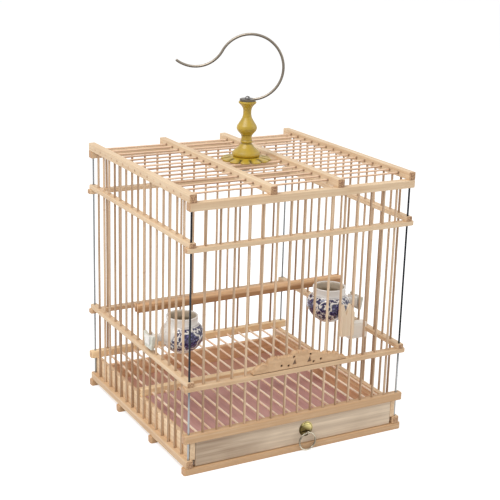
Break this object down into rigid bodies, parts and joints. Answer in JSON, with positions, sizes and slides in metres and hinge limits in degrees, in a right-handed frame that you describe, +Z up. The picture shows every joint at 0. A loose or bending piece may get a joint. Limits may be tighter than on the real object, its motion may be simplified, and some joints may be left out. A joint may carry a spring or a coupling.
{
  "type": "bird cage",
  "caption": "Square bamboo songbird cage of stick grilles in stacked rails, with a lift door on a carved board, a litter drawer with ring pull, porcelain cups, a perch and a swivel hook.",
  "frame": {"origin": "middle of the square base, on the floor it stands on", "axes": "+Z up towards the hook, -Y out of the front with the door and drawer, +X to the viewer's right facing the front"},
  "size_m": [0.252, 0.2523, 0.403],
  "materials": {
    "bamboo_stick": "satin scraped bamboo",
    "bamboo_rail": "satin varnished bamboo",
    "steel_rod": "dull drawn steel",
    "brass": "satin mustard gilt brass",
    "hook_steel": "polished wire",
    "porcelain": "glossy white glaze with a blue painted band",
    "clip_plastic": "matt ivory",
    "tray_board": "matt stained board",
    "stained_wood": "matt stained wood",
    "drawer_wood": "satin wood",
    "pale_wood": "bare pale wood"
  },
  "bodies": {
    "frame": {"back_sticks": "bamboo_stick", "base_bar_back": "bamboo_rail", "base_bar_front": "bamboo_rail", "base_bar_mid_back": "bamboo_rail", "base_bar_mid_front": "bamboo_rail", "base_left_rail": "bamboo_rail", "base_right_rail": "bamboo_rail", "corner_rod_back_left": "steel_rod", "corner_rod_back_right": "steel_rod", "corner_rod_front_left": "steel_rod", "corner_rod_front_right": "steel_rod", "cup_clip_left": "clip_plastic", "cup_clip_right": "clip_plastic", "cup_left": "porcelain", "cup_right": "porcelain", "finial_stem": "brass", "floor_back_rail": "bamboo_rail", "floor_front_rail": "bamboo_rail", "floor_mid_bar": "bamboo_rail", "floor_sticks": "bamboo_stick", "fork_saddle": "pale_wood", "front_sticks": "bamboo_stick", "guide_board_left": "stained_wood", "guide_board_right": "stained_wood", "hook_bolt": "hook_steel", "hook_bridge": "stained_wood", "hook_nut": "hook_steel", "left_sticks": "bamboo_stick", "lotus_base": "brass", "mid_back_rail": "bamboo_rail", "mid_front_rail": "bamboo_rail", "mid_left_rail": "bamboo_rail", "mid_right_rail": "bamboo_rail", "perch": "stained_wood", "right_sticks": "bamboo_stick", "roof_bar_left": "bamboo_rail", "roof_bar_mid_left": "bamboo_rail", "roof_bar_mid_right": "bamboo_rail", "roof_bar_right": "bamboo_rail", "roof_sticks": "bamboo_stick", "top_back_rail": "bamboo_rail", "top_front_rail": "bamboo_rail", "treat_fork": "pale_wood", "upper_back_rail": "bamboo_rail", "upper_front_rail": "bamboo_rail", "upper_left_rail": "bamboo_rail", "upper_right_rail": "bamboo_rail"},
    "door": {"door_board": "drawer_wood", "door_sticks": "bamboo_stick"},
    "drawer": {"drawer_back": "stained_wood", "drawer_bottom": "tray_board", "drawer_front": "drawer_wood", "drawer_left_side": "stained_wood", "drawer_right_side": "stained_wood", "pull_rosette": "brass", "pull_eye": "brass"},
    "pull_ring": {"pull_ring": "brass"},
    "hook": {"hook": "hook_steel"}
  },
  "joints": [
    {"name": "door_lift", "type": "slide", "parent": "frame", "child": "door", "axis": [0, 0, 1], "range_m": [0, 0.105]},
    {"name": "drawer_slide", "type": "slide", "parent": "frame", "child": "drawer", "axis": [0, -1, 0], "range_m": [0, 0.18]},
    {"name": "ring_swing", "type": "hinge", "parent": "drawer", "child": "pull_ring", "pos_m": [0.01, -0.12635, 0.0197], "axis": [-1, 0, 0], "range_deg": [0, 150]},
    {"name": "hook_swivel", "type": "hinge", "parent": "frame", "child": "hook", "pos_m": [0, 0, 0.336], "axis": [0, 0, 1], "continuous": true}
  ]
}
